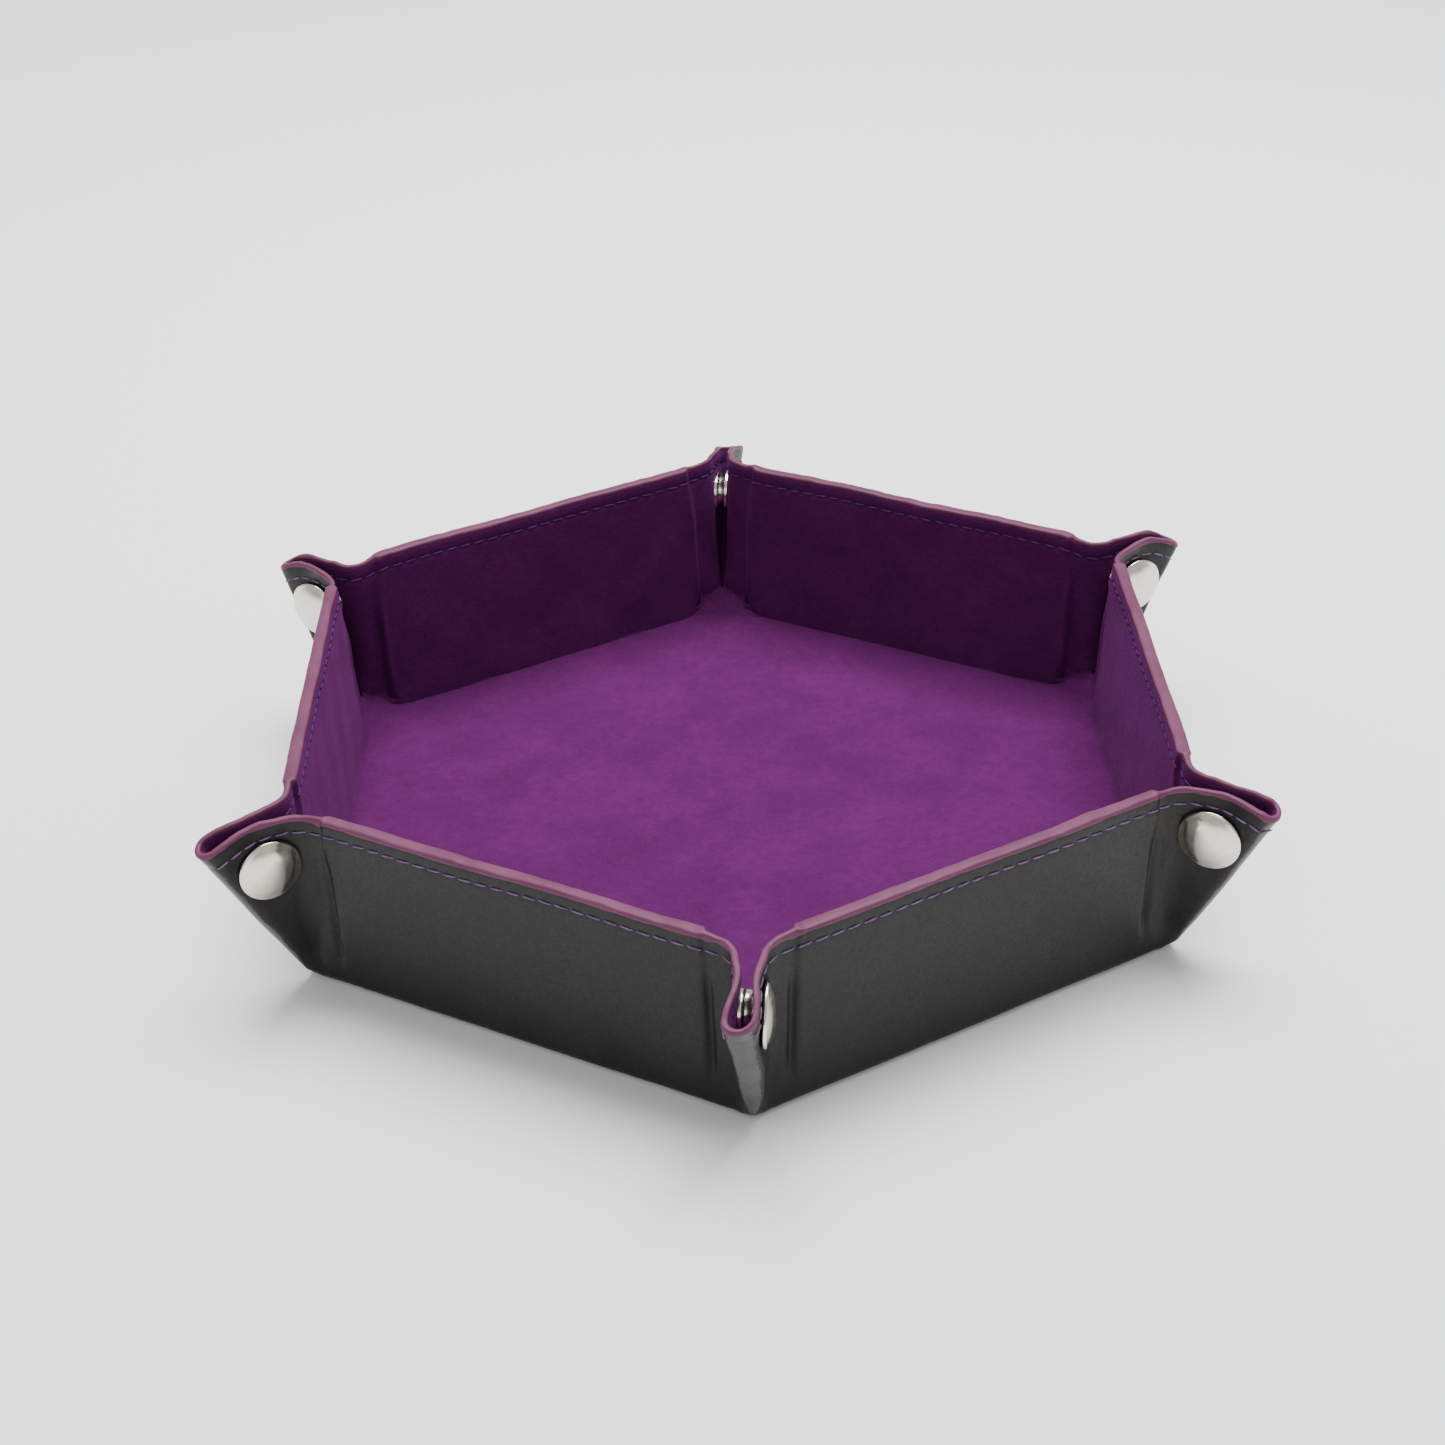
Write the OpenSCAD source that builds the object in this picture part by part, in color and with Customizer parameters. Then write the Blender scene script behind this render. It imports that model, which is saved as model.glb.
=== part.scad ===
// Folding dice tray: a hexagonal base, six walls that hinge on its edges and six pinched
// corner gussets, each held by a press stud. Drawn standing up, as it is used.
// Walls are numbered counter-clockwise from the one that faces +X. Corner k lies between
// wall k and wall k+1, and one of its two gusset flaps hangs on each of those walls.

/* [Base] */
// Distance across the flats between opposite fold lines
fold_width = 172.8; // [150:0.1:220]
// How much of each corner of the base board is clipped off, measured along the corner's radius
base_board_clip = 2.3; // [0.5:0.1:5]

/* [Walls] */
// Height of a wall, from its fold line to its rim
wall_height = 39.6; // [36:0.1:50]
// Angle by which a standing wall leans out
wall_lean = 3.6; // [2:0.1:6]
// Distance from the end of a wall board to the corner of the fold lines
board_end_gap = 8.8; // [6:0.1:12]
// How much of each lower corner of a wall board is clipped off
wall_board_clip = 3; // [0.5:0.1:6]

/* [Laminate] */
// Thickness of the outer leather
leather_t = 0.7; // [0.5:0.05:1]
// Thickness of the velvet lining
velvet_t = 0.7; // [0.5:0.05:1]
// Thickness of the boards between them
board_t = 1.5; // [1.2:0.1:2]

/* [Gussets] */
// Distance between a flap's fold line and the corner's mid-plane, at the foot of the wall
flap_offset = 1.5; // [1.4:0.05:2]
// Height of a gusset's tip above the wall's fold line, along the wall
tip_height = 35; // [32:0.5:38]
// Distance from a flap's fold line to its tip
tip_reach = 16.6; // [15:0.1:18]

/* [Press studs] */
// Diameter of the cap
cap_d = 13; // [11:0.1:13.4]
// Height of the stud's centre above the wall's fold line, along the wall
snap_height = 29.1; // [27:0.1:30]
// Distance from a flap's fold line to the stud's centre
snap_reach = 6.9; // [6.6:0.1:7.4]

/* [Hidden] */
$fn = 64;
SIDES = 6;
// The part to draw, and the list of all of them
KINDS = [
    "wall_board_", "wall_cover_", "wall_lining_", "cap_flap_", "stud_flap_",
    "snap_cap_", "snap_socket_", "snap_stud_", "snap_post_"
];

// Corners whose cap sits on the flap of the lower-numbered wall. The others mirror them,
// so that both ends of wall 6 carry a cap.
CAP_ON_FIRST = [true, true, false, false, false, true];

leather_colour = [0.24, 0.24, 0.24];
velvet_colour = [0.42, 0.18, 0.42];
board_colour = [0.55, 0.50, 0.42];
nickel_colour = [0.80, 0.78, 0.74];

// Heights of the plies in the base, and in a wall measured from its mid-plane
panel_t = leather_t + board_t + velvet_t;
half_t = panel_t / 2;
board_low = -half_t + leather_t;
// A gusset has no board, so it is only the two skins, hung on the wall's leather side. Its
// hinge line lies 1.3 mm nearer the velvet than its fold, on the line that halves the fold,
// because the skins stretch round the fold as it opens.
flap_mid = -half_t + leather_t;

// Clearance round a fold's round edge
fold_gap = 0.35;
fold_apothem = fold_width / 2;
wall_angle = 90 - wall_lean;
flap_angle = 60;
base_edge = fold_apothem - half_t - fold_gap;
fold_corner = fold_apothem * tan(30);
flap_axis = (fold_apothem - flap_mid) * tan(30) - flap_offset / sin(60);
wall_end = flap_axis - leather_t - fold_gap;
board_end = fold_corner - board_end_gap;
board_foot = 1.5;

// The lining steps down past the board's end over this length
step_start = 0.3;
step_length = 2.8;

// Outline of a flap: its foot, and the soft shoulder in its top edge
flap_foot = 2;
flap_foot_reach = 0.5;
shoulder_reach = 8;
shoulder_drop = 1.4;

// The base's corners are rounded so that they clear the gussets' feet
base_corner_r = base_edge / cos(30) - 1.2;
board_margin = 0.6;

// Press stud. Heights are from the flap's mid-plane, positive on the velvet side.
cap_rim = 0.5;
cap_rise = 2.3;
cap_shell = 0.4;
cap_dish = cap_d / 2 - cap_rim;
post_r = 1.5;
post_bore_r = 1.0;
skin_hole_r = post_r + 0.1;
socket_r = 5.3;
socket_height = 2.1;
socket_mouth_r = 2.35;
socket_floor = 0.35;
stud_r = 4.9;
stud_base = 0.6;
stud_head_r = 1.95;
stud_reach = 2.5;
stem_r = 1.0;
stem_flange_r = 4.2;
stem_flange_t = 0.3;
pocket_r = stem_flange_r + 0.1;

// A hexagon with a corner towards -Y, from its distance across the flats
module hexagon(apothem, height) {
    rotate([0, 0, 30]) cylinder(r = apothem / cos(30), h = height, $fn = SIDES);
}

// Moves a wall drawn flat to where it stands. Flat, X runs from the fold line to the rim,
// Y along the fold line and Z from the leather to the velvet.
module place_wall(k) {
    rotate([0, 0, 60 * (k - 1)])
        translate([fold_apothem, 0, half_t])
            rotate([0, -wall_angle, 0])
                children();
}

// Moves a flap drawn flat, with Y running away from its fold line, to its pinched place on
// wall k. side is +1 for the wall's end towards corner k and -1 for its other end.
module place_flap(k, side) {
    place_wall(k)
        if (side > 0)
            fold_flap() children();
        else
            mirror([0, 1, 0]) fold_flap() children();
}

module fold_flap() {
    translate([0, flap_axis, flap_mid])
        rotate([-flap_angle, 0, 0])
            children();
}

// Places a piece of corner k on the flap that carries the cap, or on the other one
module on_corner(k, cap_side) {
    first = CAP_ON_FIRST[k - 1] == cap_side;
    wall = first ? k : k % SIDES + 1;
    place_flap(wall, first ? 1 : -1) children();
}

module at_snap() {
    translate([snap_height, snap_reach, 0]) children();
}

module base_slab(apothem, low, thickness) {
    intersection() {
        translate([0, 0, low]) hexagon(apothem, thickness);
        translate([0, 0, low - 1]) cylinder(r = base_corner_r, h = thickness + 2);
    }
}

module base_cover() {
    color(leather_colour) base_slab(base_edge, 0, leather_t);
}

module base_board() {
    apothem = base_edge - board_margin;
    color(board_colour)
        intersection() {
            translate([0, 0, leather_t]) hexagon(apothem, board_t);
            translate([0, 0, leather_t - 1])
                cylinder(
                    r = (apothem / cos(30) - base_board_clip) / cos(30),
                    h = board_t + 2,
                    $fn = SIDES
                );
        }
}

module base_lining() {
    color(velvet_colour) base_slab(base_edge, leather_t + board_t, velvet_t);
}

module wall_board(k) {
    color(board_colour)
        place_wall(k)
            translate([0, 0, board_low])
                linear_extrude(board_t)
                    polygon([
                        [board_foot, -board_end + wall_board_clip],
                        [board_foot + wall_board_clip, -board_end],
                        [wall_height, -board_end],
                        [wall_height, board_end],
                        [board_foot + wall_board_clip, board_end],
                        [board_foot, board_end - wall_board_clip]
                    ]);
}

// The leather runs up the wall and bends round the fold line at its foot
module wall_cover(k) {
    color(leather_colour)
        place_wall(k)
            translate([0, wall_end, 0])
                rotate([90, 0, 0])
                    linear_extrude(2 * wall_end)
                        union() {
                            translate([0, -half_t]) square([wall_height, leather_t]);
                            difference() {
                                circle(r = half_t);
                                circle(r = half_t - leather_t);
                                translate([0, -half_t]) square([half_t, 2 * half_t]);
                            }
                        }
}

// The velvet lies on the board and steps down to the leather past the board's ends
module wall_lining(k) {
    bend = board_end + step_start;
    foot = bend + step_length;
    top = half_t;
    low = flap_mid + velvet_t;
    color(velvet_colour)
        place_wall(k)
            rotate([90, 0, 90])
                linear_extrude(wall_height)
                    polygon([
                        [-wall_end, flap_mid], [-foot + 0.3, flap_mid],
                        [-bend, top - velvet_t], [bend, top - velvet_t],
                        [foot - 0.3, flap_mid], [wall_end, flap_mid],
                        [wall_end, low], [foot, low],
                        [bend, top], [-bend, top],
                        [-foot, low], [-wall_end, low]
                    ]);
}

module flap_outline() {
    polygon([
        [flap_foot, 0],
        [flap_foot, flap_foot_reach],
        [tip_height - 1, tip_reach - 0.5],
        [tip_height, tip_reach],
        [tip_height + 1, tip_reach - 1.2],
        [wall_height - shoulder_drop, shoulder_reach],
        [wall_height, 1],
        [wall_height, 0]
    ]);
}

// One flap: a leather ply with the fold's round edge, and a velvet ply glued to it. Either
// both have the hole for the cap's post, or they close over a pocket for the back post.
module flap(pocket) {
    glue = 0.02;
    color(leather_colour)
        difference() {
            union() {
                translate([0, 0, -leather_t]) linear_extrude(leather_t) flap_outline();
                intersection() {
                    translate([flap_foot, 0, 0])
                        rotate([0, 90, 0]) cylinder(r = leather_t, h = wall_height - flap_foot);
                    translate([0, -2 * leather_t, -2 * leather_t])
                        cube([wall_height, 2 * leather_t, 4 * leather_t]);
                }
            }
            if (pocket)
                at_snap() translate([0, 0, -stem_flange_t / 2]) cylinder(r = pocket_r, h = leather_t);
            else
                at_snap() translate([0, 0, -2 * leather_t]) cylinder(r = skin_hole_r, h = 3 * leather_t);
        }
    color(velvet_colour)
        difference() {
            translate([0, glue, glue]) linear_extrude(velvet_t - glue) flap_outline();
            at_snap() translate([0, 0, -1]) cylinder(r = skin_hole_r, h = velvet_t + 2);
            if (pocket)
                at_snap() translate([0, 0, -1]) cylinder(r = pocket_r, h = 1 + stem_flange_t / 2);
        }
}

module cap_flap(k) {
    on_corner(k, true) flap(false);
}

// The stud's back post is hidden under the leather, so this leather has no hole
module stud_flap(k) {
    on_corner(k, false) flap(true);
}

// A shallow dome with a rolled rim, and a hollow post through both skins
module snap_cap(k) {
    dome_r = (cap_dish * cap_dish + pow(cap_rise - 2 * cap_rim, 2)) / (2 * (cap_rise - 2 * cap_rim));
    post_end = velvet_t + socket_floor + 0.25;
    color(nickel_colour)
        on_corner(k, true) at_snap()
            rotate_extrude()
                union() {
                    // dome shell
                    intersection() {
                        difference() {
                            translate([0, -leather_t - cap_rise + dome_r]) circle(r = dome_r);
                            translate([0, -leather_t - cap_rise + dome_r])
                                circle(r = dome_r - cap_shell);
                        }
                        translate([0, -leather_t - cap_rise]) square([cap_dish, cap_rise]);
                    }
                    // rolled rim
                    translate([cap_dish, -leather_t - cap_rim]) circle(r = cap_rim);
                    // post
                    translate([0, -leather_t - cap_rise + cap_shell / 2])
                        square([post_r, cap_shell]);
                    translate([post_bore_r, -leather_t - cap_rise + cap_shell / 2])
                        square([post_r - post_bore_r, leather_t + cap_rise - cap_shell / 2 + post_end]);
                    // flared end that clamps the socket
                    translate([post_bore_r, post_end - 0.2]) square([0.95, 0.2]);
                }
}

// A ring with a mouth for the stud's head, and a floor clamped by the cap's post
module snap_socket(k) {
    low = velvet_t;
    color(nickel_colour)
        on_corner(k, true) at_snap()
            rotate_extrude()
                difference() {
                    union() {
                        translate([post_r + 0.05, low]) square([socket_r - post_r - 0.05, 0.5]);
                        translate([post_r + 0.05, low]) square([4.4 - post_r, socket_height]);
                    }
                    translate([0, low + socket_floor]) square([socket_mouth_r, socket_height]);
                }
}

// A dished base with a head that enters the socket
module snap_stud(k) {
    low = velvet_t;
    color(nickel_colour)
        on_corner(k, false) at_snap()
            rotate_extrude()
                difference() {
                    union() {
                        translate([0, low]) square([stud_r, stud_base]);
                        translate([0, low]) square([stud_head_r - 0.25, stud_reach]);
                        translate([0, low + stud_reach - 1])
                            square([stud_head_r, 0.7]);
                    }
                    square([stem_r + 0.05, low + stud_reach - 0.4]);
                }
}

// A flat flange between the skins, with a stem that holds the stud
module snap_post(k) {
    color(nickel_colour)
        on_corner(k, false) at_snap()
            rotate_extrude()
                union() {
                    translate([0, -stem_flange_t / 2]) square([stem_flange_r, stem_flange_t]);
                    translate([0, -stem_flange_t / 2])
                        square([stem_r, velvet_t + stud_reach - 0.6]);
                }
}

base_board();
base_cover();
base_lining();
for (k = [1 : SIDES]) {
    wall_board(k);
    wall_cover(k);
    wall_lining(k);
    cap_flap(k);
    stud_flap(k);
    snap_cap(k);
    snap_socket(k);
    snap_stud(k);
    snap_post(k);
}
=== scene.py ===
import math
import bmesh
import bpy
import numpy as np
from mathutils import Matrix, Vector


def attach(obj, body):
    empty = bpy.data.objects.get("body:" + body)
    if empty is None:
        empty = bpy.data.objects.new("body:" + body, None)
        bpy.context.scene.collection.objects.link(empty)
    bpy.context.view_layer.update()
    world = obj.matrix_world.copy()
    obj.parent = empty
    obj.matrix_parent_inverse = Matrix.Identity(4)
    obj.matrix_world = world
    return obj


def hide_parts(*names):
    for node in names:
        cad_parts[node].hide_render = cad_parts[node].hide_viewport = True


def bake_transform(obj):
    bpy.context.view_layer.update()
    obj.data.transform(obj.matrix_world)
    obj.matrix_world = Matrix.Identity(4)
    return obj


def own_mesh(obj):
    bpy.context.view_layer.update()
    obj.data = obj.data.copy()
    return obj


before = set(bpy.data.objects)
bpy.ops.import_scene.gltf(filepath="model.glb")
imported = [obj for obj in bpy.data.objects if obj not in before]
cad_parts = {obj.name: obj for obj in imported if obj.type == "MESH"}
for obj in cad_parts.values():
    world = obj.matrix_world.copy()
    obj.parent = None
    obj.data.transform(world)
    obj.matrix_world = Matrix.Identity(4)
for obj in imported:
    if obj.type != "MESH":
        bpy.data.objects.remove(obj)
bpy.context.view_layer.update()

# Sizes are in millimetres until metres() or new_object() turns them into metres.
MM = 0.001
SIDES = 6
SECTOR = 60
HALF_SECTOR = 30
APOTHEM = 86.4
WALL_HEIGHT = 39.6
WALL_ANGLE = math.radians(86.4)
HALF_PANEL = 1.45
HALF_FLAP = 0.7
SKIN = 0.6

# A panel's section at a corner, in wall coordinates: v runs along the wall, w from its
# leather to its velvet. The board stops short of the corner, and the skins come together.
BOARD_END = 40.9
STEP_LENGTH = 2.2
STEP_SHIFT = -0.25
BOARD_CORNER = 2.0
CUT = 44.0
FLAP_ORIGIN = (48.585, -0.75)
FLAP_WAY = (0.5, -math.sqrt(3) / 2)
FLAP_NORMAL = (math.sqrt(3) / 2, 0.5)
SNAP_UP = 29.1
SNAP_OUT = 6.9
FLAP_CUT = 0.08

# In w, from the line that the skins follow past the board to the flap's origin
ORIGIN_SHIFT = FLAP_ORIGIN[1] - STEP_SHIFT

# Beside the board's end the skins sink towards the velvet in a valley.
SINK = 0.9
SINK_AT = 42.2
SINK_WIDTH = 0.85

# A half loop is longer than it is wide, and near the rim the flaps lean together.
LOOP_STRETCH = 1.15
PINCH = 0.87

# Along a corner's radius: the foot of the outer fold at the fold line's height, how fast it
# runs outwards as it rises, and where a flap's fold lies at its foot.
TIP_FOOT = 101.1
TIP_SLOPE = 0.575
FLAP_FOOT = 99.77

# Columns of a panel are numbered by zone: 0 to 1 along the board, 1 to 2 to the bend,
# 2 to 3 round the bend, 3 to 4 along the flap, and 4 to 5 round the half loop.
BEND_START = 2
FLAP_START = 3
LOOP_START = 4
LAST = 5

# The base: how far out its leather and its velvet reach at the middle of a side, how round
# the leather turns up, the floor's level, and how far along a wall the velvet's fold runs.
RING = 82.65
VELVET_RING = 84.9
FOOT_ROUNDING = 2.2
FLOOR_TOP = 2.9
FOLD_END = 48.6

# How far the seam is below the rim, and from one stitch to the next
SEAM_DEPTH = 3.2
STITCH_PITCH = 3.5

# For each corner k, whether its cap is on the flap of wall k and not on the next wall's
CAP_ON_FIRST = [True, True, False, False, False, True]

# No two gussets are pinched quite alike. For each corner: how far its tip leans
# anticlockwise and reaches outwards, how far the rim rises at the tip and halfway along
# the flap, and how far it dips at the fold.
TIP_LEAN = [0.0, -3.5, -2.2, 0.0, -3.1, 0.0]
TIP_REACH = [-0.8, -0.8, -3.2, -1.3, -1.0, -2.3]
TIP_LIFT = [2.2, 1.6, 2.6, 2.4, 1.0, 3.1]
FLAP_BULGE = [0.9, 0.3, 0.6, 0.3, 0.0, 0.3]
FOLD_DIP = [1.1, -0.3, 1.1, 0.2, 0.2, 0.2]


def smooth(x):
    x = np.clip(x, 0, 1)
    return x * x * (3 - 2 * x)


def bell(x):
    return np.exp(-x * x)


def waves(points, size, seed):
    """A smooth and repeatable unevenness, mostly within -1 to 1, with bumps of that size in mm."""
    rng = np.random.default_rng(seed)
    total = np.zeros(points.shape[:-1])
    for _ in range(7):
        way = rng.normal(size=3)
        way *= 2 * math.pi / size * rng.uniform(0.6, 1.3) / np.linalg.norm(way)
        total += np.sin(points @ way + rng.uniform(0, 2 * math.pi))
    return total / 3


# ---- wall coordinates


def wall_turn(k):
    return math.radians(SECTOR * (k - 1))


def corner_turn(k):
    return math.radians(SECTOR * (k - 1) + HALF_SECTOR)


def turned(out, along, up, turn):
    """Points in the object's frame, from their way out along the radius at that turn, their
    way across it and their height."""
    x = out * math.cos(turn) - along * math.sin(turn)
    y = out * math.sin(turn) + along * math.cos(turn)
    return np.stack(np.broadcast_arrays(x, y, up), axis=-1)


def place(k, side, v, w, u):
    """A point of wall k in the object's frame, in mm. u is its height up the wall from the
    fold line, v its way along the wall towards the corner on that side."""
    out = APOTHEM + u * math.cos(WALL_ANGLE) - w * math.sin(WALL_ANGLE)
    up = HALF_PANEL + u * math.sin(WALL_ANGLE) + w * math.cos(WALL_ANGLE)
    return turned(out, side * v, up, wall_turn(k))


def aim(k, side, v, w, u):
    """A direction of wall k in the object's frame."""
    return place(k, side, v, w, u) - place(k, side, 0.0, 0.0, 0.0)


def settled(points):
    """Points in mm, with each gusset drawn together by its snap and its tip pushed aside."""
    points = np.array(points, float)
    sector = np.floor(np.degrees(np.arctan2(points[..., 1], points[..., 0])) / SECTOR)
    corner = sector.astype(int) % SIDES
    turn = np.radians(SECTOR * corner + HALF_SECTOR)
    radial = points[..., 0] * np.cos(turn) + points[..., 1] * np.sin(turn)
    across = points[..., 1] * np.cos(turn) - points[..., 0] * np.sin(turn)
    pull = 0.15 * bell((radial - 108) / 7) * bell((points[..., 2] - SNAP_UP - 2) / 9) * across
    points[..., 0] += pull * np.sin(turn)
    points[..., 1] -= pull * np.cos(turn)
    past = np.maximum(radial - 99, 0)
    share = (past / 22) ** 1.8 * smooth((points[..., 2] - 2) / 12)
    lean = np.array(TIP_LEAN)[corner] * share
    reach = np.array(TIP_REACH)[corner] * share
    points[..., 0] += reach * np.cos(turn) - lean * np.sin(turn)
    points[..., 1] += reach * np.sin(turn) + lean * np.cos(turn)
    return points


def flap_plane(u):
    """How a flap lies at height u: how far its foot is drawn in, its distance from the plane
    that halves the corner, its fold's radius, where the fold's middle and end are along the
    flap, and where its half loop starts."""
    drawn = 0.75 * (1 - smooth(u / 14))
    gap = 1.5 + 0.0314 * u - drawn
    radius = 1.7 + 3.6 * smooth((u - 3) / 11) + 1.7 * smooth((u - 29) / 8)
    apex = (ORIGIN_SHIFT + 0.5 * drawn) / FLAP_NORMAL[0]
    start = apex + radius * math.tan(math.radians(HALF_SECTOR))
    flap_slope = math.cos(WALL_ANGLE) * math.cos(math.radians(HALF_SECTOR))
    out = TIP_FOOT - FLAP_FOOT + (TIP_SLOPE - flap_slope) * u
    reach = np.maximum(out - LOOP_STRETCH * gap, start + 0.05)
    return drawn, gap, radius, apex, start, reach


def pinched(share, u):
    """How far a flap leans towards its corner's middle near the rim."""
    return PINCH * smooth((u - 33.5) / 5) * np.sin(math.pi * share**0.7) ** 2


def foot_section(c, u):
    """Where a panel's foot lies, as v, w and the angle that it has turned. There the skin
    isn't folded in yet: it runs on to a rounded corner."""
    turn = np.radians(HALF_SECTOR) * np.clip(c - LOOP_START, 0, 1)
    v = np.interp(c, [1, BEND_START, LOOP_START], [CUT, 46.5, 49.565]) + 1.3 * np.sin(turn)
    v = v + 0.036 * u * np.clip(c - BEND_START, 0, 1)
    w = -HALF_PANEL + HALF_FLAP + 1.3 * (1 - np.cos(turn))
    drawn_out = (TIP_FOOT - 100.43 + (TIP_SLOPE - 0.072) * u) * smooth((c - BEND_START) / 3)
    return v + FLAP_WAY[0] * drawn_out, w + FLAP_WAY[1] * drawn_out, turn


def flap_section(c, u):
    """The middle of a flap and its half loop, as v, w, the normal towards the velvet and the
    way along the flap."""
    drawn, gap, _, _, start, reach = flap_plane(u)
    share = np.clip(c - FLAP_START, 0, 1)
    length = reach - start
    pinch = pinched(share, u)
    nudge = 0.01
    slope = pinched(np.clip(share + nudge, 0, 1), u) - pinch
    slope = slope / (nudge * np.maximum(length, 1))
    loop = np.radians(90) * np.clip(c - LOOP_START, 0, 1)
    along = start + length * share + LOOP_STRETCH * gap * np.sin(loop)
    off = pinch + gap * (1 - np.cos(loop))
    loop_along = -gap * np.sin(loop)
    loop_off = LOOP_STRETCH * gap * np.cos(loop)
    size = np.hypot(loop_along, loop_off)
    normal_along = np.where(c < LOOP_START, -slope, loop_along / size)
    normal_off = np.where(c < LOOP_START, 1.0, loop_off / size)
    v = FLAP_ORIGIN[0] + FLAP_NORMAL[0] * (drawn + off) + FLAP_WAY[0] * along
    w = FLAP_ORIGIN[1] + FLAP_NORMAL[1] * (drawn + off) + FLAP_WAY[1] * along
    normal_v = FLAP_WAY[0] * normal_along + FLAP_NORMAL[0] * normal_off
    normal_w = FLAP_WAY[1] * normal_along + FLAP_NORMAL[1] * normal_off
    return v, w, normal_v, normal_w, along


def section(c, u):
    """The middle of a panel at column c and height u, as v, w, the normal towards the velvet,
    half of the thickness and the way along the flap."""
    c, u = np.broadcast_arrays(np.asarray(c, float), np.asarray(u, float))
    drawn, _, radius, apex, _, _ = flap_plane(u)
    fold_v = FLAP_ORIGIN[0] + FLAP_NORMAL[0] * drawn + FLAP_WAY[0] * apex
    bend_v = fold_v - radius * math.tan(math.radians(HALF_SECTOR))
    foot = 1 - smooth((u - 0.8) / 6.5)
    foot_v, foot_w, foot_turn = foot_section(c, u)
    # along the board
    flat_v = np.where(c < 1, CUT * c, CUT + (bend_v - CUT) * np.clip(c - 1, 0, 1))
    clip = BOARD_CORNER * np.clip(1 - u / 5, 0, 1) ** 2
    length_here = STEP_LENGTH - 0.9 * smooth((u - 33) / 4)
    step = smooth((flat_v - BOARD_END + clip) / (length_here + clip))
    shift = STEP_SHIFT * (1 - foot) + (HALF_FLAP - HALF_PANEL) * foot
    # round the bend
    turn = np.radians(SECTOR) * np.clip(c - BEND_START, 0, 1)
    flap_v, flap_w, flap_normal_v, flap_normal_w, along = flap_section(c, u)
    zones = [c <= BEND_START, c <= FLAP_START]
    v = np.select(zones, [flat_v, bend_v + radius * np.sin(turn)], flap_v)
    w = np.select(zones, [shift * step, STEP_SHIFT - radius * (1 - np.cos(turn))], flap_w)
    normal_v = np.select(zones, [0 * c, np.sin(turn)], flap_normal_v)
    normal_w = np.select(zones, [1 + 0 * c, np.cos(turn)], flap_normal_w)
    half = np.where(c <= BEND_START, HALF_PANEL - (HALF_PANEL - HALF_FLAP) * step, HALF_FLAP)
    valley = SINK * bell((v - SINK_AT) / SINK_WIDTH)
    w = w + valley * smooth((u - 3) / 8) * (1 - smooth((u - 24) / 12))
    foot = foot * (c > 1)
    v = v + (foot_v - v) * foot
    w = w + (foot_w - w) * foot * (c > BEND_START)
    normal_v = normal_v + (-np.sin(foot_turn) - normal_v) * foot
    normal_w = normal_w + (np.cos(foot_turn) - normal_w) * foot
    size = np.hypot(normal_v, normal_w)
    return v, w, normal_v / size, normal_w / size, half, along


def rim_height(k, side, c):
    """The height of a panel's top edge at each column."""
    c = np.asarray(c, float)
    corner = corner_of(k, side) - 1
    share = np.clip(c - FLAP_START, 0, 1)
    fall = (4.3 - TIP_LIFT[corner]) * share**1.6 + 0.9 * np.sin(
        np.radians(90) * np.clip(c - LOOP_START, 0, 1))
    bulge = FLAP_BULGE[corner] * bell((c - 3.6) / 0.42)
    v, w, *_ = section(c, WALL_HEIGHT - 1)
    notch = 0.3 * smooth((v - BOARD_END - 0.4) / 1.2) + 0.08 * smooth(c - BEND_START)
    dip = FOLD_DIP[corner] * smooth((v - 39) / 7) * (1 - smooth((c - 2.3) / 1.3))
    level = WALL_HEIGHT - notch - dip - fall + bulge
    return level + 0.12 * waves(place(k, side, v, w, level), 30, 5)


def relief(k, side, c, u, depth, v, along, spot, leather):
    """How far a face stands out of its nominal place, in mm."""
    seam = bell((depth - SEAM_DEPTH) / 0.55)
    rolled = 1 - smooth(depth / 1.1)
    if not leather:
        soft = 0.10 * waves(spot, 16, 11) + 0.03 * waves(spot, 9, 12)
        return soft - 0.22 * seam - 0.22 * rolled
    # creases that fan out from the wall's lower corners, where the leather is drawn round
    inward = np.where(c <= BEND_START, 49 - v, 0.01)
    angle = np.arctan2(u, inward)
    away = np.hypot(u, inward)
    drawn = 0.16 * np.sin(8 * angle + 1.3 * k + side) * smooth(away / 3) * np.exp(-away / 13)
    drawn = drawn * (c <= BEND_START) * smooth((angle - 0.1) / 0.4) * smooth((1.5 - angle) / 0.4)
    soft = 0.11 * waves(spot, 27, 1) + 0.035 * waves(spot, 8, 2)
    # the leather is pressed in round a cap
    from_snap = np.hypot(along - SNAP_OUT, u - SNAP_UP)
    pressed = 0.3 * (c > 2.5) * (1 - smooth((from_snap - 6.3) / 3.5))
    return soft + drawn - 0.13 * seam - 0.16 * rolled - pressed * has_cap(k, side)


def corner_of(k, side):
    """The corner at that end of wall k."""
    return k if side > 0 else (k - 2) % SIDES + 1


def has_cap(k, side):
    return CAP_ON_FIRST[corner_of(k, side) - 1] == (side > 0)


def kind_of(k, side):
    return "cap" if has_cap(k, side) else "stud"


def flap_body(k, side):
    return f"{kind_of(k, side)}_flap_body_{corner_of(k, side)}"


def flap_piece(word, k, side):
    """The name of a piece that each flap has one of."""
    return f"{word}_{kind_of(k, side)}_{corner_of(k, side)}"


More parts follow.
